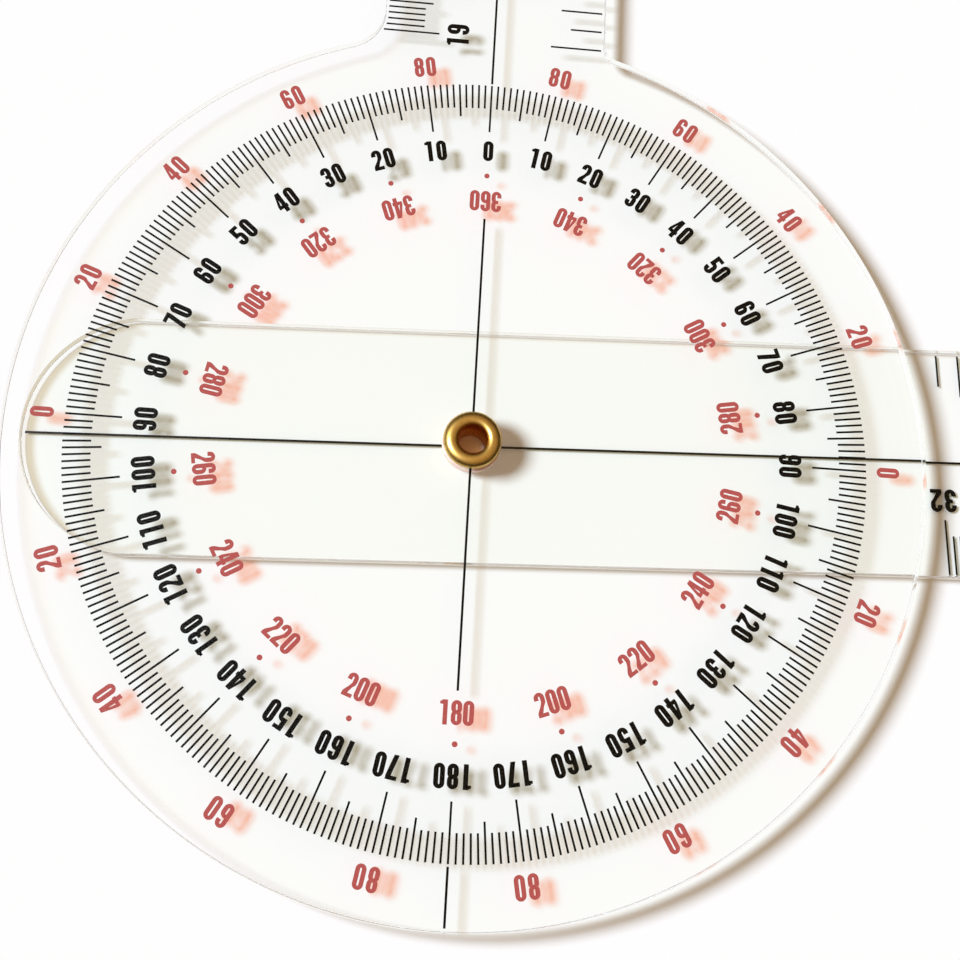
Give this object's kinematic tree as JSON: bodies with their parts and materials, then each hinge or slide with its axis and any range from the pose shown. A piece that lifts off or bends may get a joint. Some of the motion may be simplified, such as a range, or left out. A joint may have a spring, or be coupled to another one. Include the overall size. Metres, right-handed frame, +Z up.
{
  "type": "goniometer",
  "caption": "Clear plastic angle finder: a full-circle degree dial with a fixed ruler arm, and a second ruler arm that turns under it on a hollow brass eyelet.",
  "frame": {"origin": "on the pivot's axis, in the upper face of the dial", "axes": "+Y runs from the pivot along the fixed arm, +Z points up to the reader along the eyelet's bore, +X is to the right of the fixed arm; the moving arm is set at 87.6 degrees clockwise from the fixed arm"},
  "size_m": [0.3168, 0.317, 0.0063],
  "materials": {
    "clear_plastic": "clear and polished",
    "black_ink": "screen-printed",
    "red_ink": "screen-printed",
    "brass": "polished and rolled",
    "washer_plastic": "clear and smooth"
  },
  "bodies": {
    "dial": {"dial_plate": "clear_plastic", "degree_marks": "black_ink", "degree_dots": "red_ink", "dial_index_line": "black_ink", "fixed_arm_cm_ruler": "black_ink", "fixed_arm_inch_ruler": "black_ink", "eyelet": "brass", "washer": "washer_plastic"},
    "arm": {"moving_arm": "clear_plastic", "moving_arm_index_line": "black_ink", "moving_arm_cm_ruler": "black_ink", "moving_arm_inch_ruler": "black_ink"}
  },
  "joints": [
    {"name": "arm_pivot", "type": "hinge", "parent": "dial", "child": "arm", "pos_m": [0, 0, -0.00357], "axis": [0, 0, 1], "continuous": true}
  ]
}
